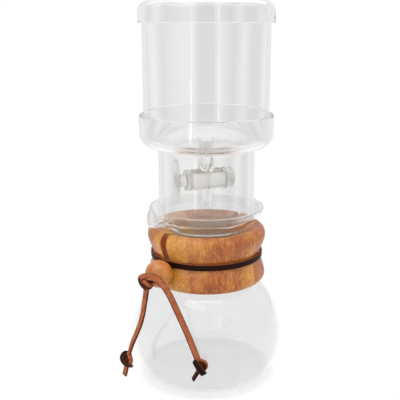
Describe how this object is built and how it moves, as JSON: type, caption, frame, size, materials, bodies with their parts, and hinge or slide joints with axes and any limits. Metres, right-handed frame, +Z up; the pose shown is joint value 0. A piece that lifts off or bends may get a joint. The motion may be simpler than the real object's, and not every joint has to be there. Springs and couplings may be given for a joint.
{
  "type": "cold drip coffee tower",
  "caption": "Stacked glass cold drip coffee maker: lidded water chamber with a stopcock, coffee chamber with a filter, and a round carafe with a laced wooden collar.",
  "frame": {"origin": "centre of the carafe's flat base", "axes": "+Z up along the common axis of the chambers, -Y the front, towards the carafe's pouring spout"},
  "size_m": [0.1258, 0.1477, 0.3105],
  "materials": {
    "glass": "clear blown borosilicate",
    "fluoropolymer": "smooth white fluoropolymer",
    "silicone": "matt translucent white",
    "steel": "perforated sheet",
    "wood": "oiled honey-orange hardwood",
    "bead_wood": "polished turned wood",
    "leather": "flat brown lace, dark edges"
  },
  "bodies": {
    "carafe": {"carafe": "glass", "collar_half_left": "wood", "collar_half_right": "wood", "collar_tie": "leather", "tie_bead": "bead_wood", "tie_knot": "leather", "tie_tail_left": "leather", "tie_tail_right": "leather", "tail_knot_left": "leather", "tail_knot_right": "leather"},
    "coffee_chamber": {"coffee_chamber": "glass"},
    "filter": {"filter_gasket": "silicone", "filter_disc": "steel"},
    "water_chamber": {"water_chamber": "glass"},
    "lid": {"lid": "glass"},
    "stopcock": {"valve_plug": "fluoropolymer", "plug_washer": "fluoropolymer", "plug_seal_ring": "silicone", "plug_nut": "fluoropolymer"}
  },
  "joints": [
    {"name": "chamber_lift", "type": "slide", "parent": "carafe", "child": "coffee_chamber", "axis": [0, 0, 1], "range_m": [0, 0.065]},
    {"name": "filter_lift", "type": "slide", "parent": "coffee_chamber", "child": "filter", "axis": [0, 0, 1], "range_m": [0, 0.03]},
    {"name": "tank_lift", "type": "slide", "parent": "coffee_chamber", "child": "water_chamber", "axis": [0, 0, 1], "range_m": [0, 0.085]},
    {"name": "lid_lift", "type": "slide", "parent": "water_chamber", "child": "lid", "axis": [0, 0, 1], "range_m": [0, 0.05]},
    {"name": "valve_turn", "type": "hinge", "parent": "water_chamber", "child": "stopcock", "pos_m": [0, 0, 0.16898], "axis": [-0.2419, -0.9703, 0], "continuous": true}
  ]
}
